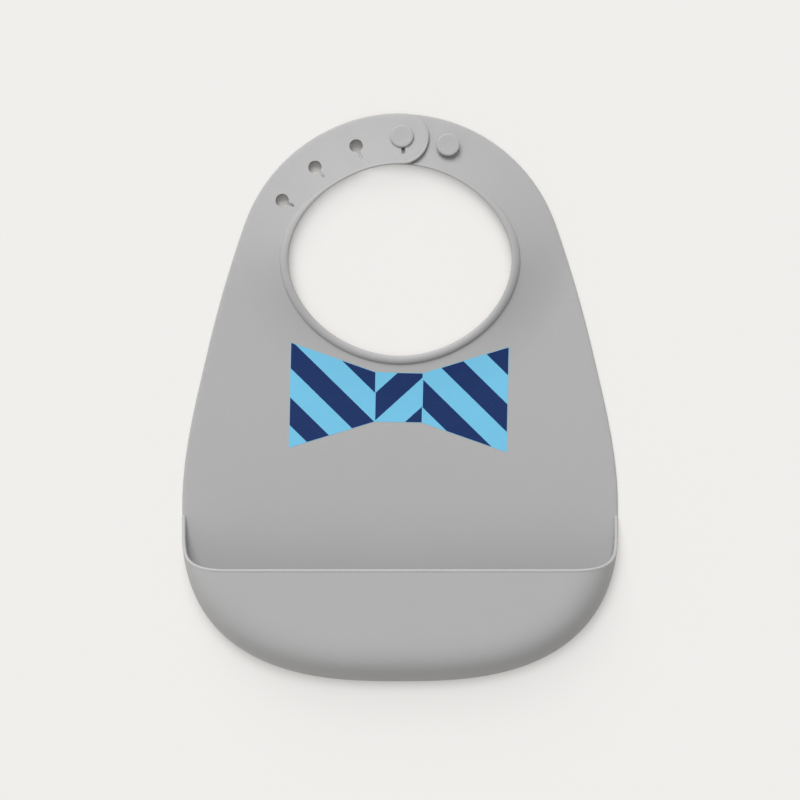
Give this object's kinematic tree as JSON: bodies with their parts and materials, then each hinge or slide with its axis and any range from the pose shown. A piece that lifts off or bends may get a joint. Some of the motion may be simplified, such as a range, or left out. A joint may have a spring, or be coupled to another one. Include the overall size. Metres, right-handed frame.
{
  "type": "silicone baby bib",
  "caption": "Soft silicone baby bib with a rounded neck opening, an adjustable keyhole-and-stud collar, a printed bow tie and a scoop pocket along its lower edge.",
  "frame": {"origin": "under the middle of the bib's outline, in the plane that its back lies on", "axes": "+Y from the pocket to the collar, +Z out of the front, +X to the right seen from the front"},
  "size_m": [0.2306, 0.2994, 0.034],
  "materials": {
    "silicone": "matte grey moulded silicone",
    "light_ink": "light blue printed ink",
    "dark_ink": "navy printed ink"
  },
  "bodies": {
    "pocket_base": {"lower_panel": "silicone", "pocket_wall": "silicone"},
    "pocket_face": {"pocket_front": "silicone", "pocket_lip": "silicone"},
    "chest": {"chest_panel": "silicone", "neck_bead": "silicone", "bow_tie_base": "light_ink", "stripe_left_1": "dark_ink", "stripe_left_2": "dark_ink", "stripe_left_3": "dark_ink", "stripe_right_1": "dark_ink", "stripe_right_2": "dark_ink", "stripe_right_3": "dark_ink", "stripe_knot_1": "dark_ink", "stripe_knot_2": "dark_ink"},
    "right_strap": {"stud_strap": "silicone", "strap_bead_right": "silicone", "stud_1": "silicone", "stud_2": "silicone"},
    "left_strap": {"keyhole_strap": "silicone", "strap_bead_left": "silicone"},
    "tab": {"keyhole_tab": "silicone"}
  },
  "joints": [
    {"name": "panel_fold", "type": "hinge", "parent": "pocket_base", "child": "chest", "pos_m": [0, -0.0517, 0.0009], "axis": [1, 0, 0], "range_deg": [-60, 105], "stiffness_Nm_per_rad": 0.01},
    {"name": "right_strap_bend", "type": "hinge", "parent": "chest", "child": "right_strap", "pos_m": [0, 0.0626, 0.0009], "axis": [1, 0, 0], "range_deg": [-75, 50], "stiffness_Nm_per_rad": 0.003},
    {"name": "left_strap_bend", "type": "hinge", "parent": "chest", "child": "left_strap", "pos_m": [0, 0.0626, 0.0009], "axis": [1, 0, 0], "range_deg": [-75, 50], "stiffness_Nm_per_rad": 0.003},
    {"name": "tab_lift", "type": "hinge", "parent": "left_strap", "child": "tab", "pos_m": [-0.0692, 0.08678, 0.0009], "axis": [0.944, -0.3298, 0], "range_deg": [0, 75], "stiffness_Nm_per_rad": 0.002, "deforming": ["stud_1"]},
    {"name": "pocket_flex", "type": "hinge", "parent": "pocket_base", "child": "pocket_face", "pos_m": [0, -0.1497, 0.0009], "axis": [1, 0, 0], "range_deg": [-12, 12], "stiffness_Nm_per_rad": 0.15, "deforming": ["pocket_wall"]}
  ],
  "couplings": [
    {"joint": "left_strap_bend", "follows": "right_strap_bend", "ratio": 1}
  ]
}
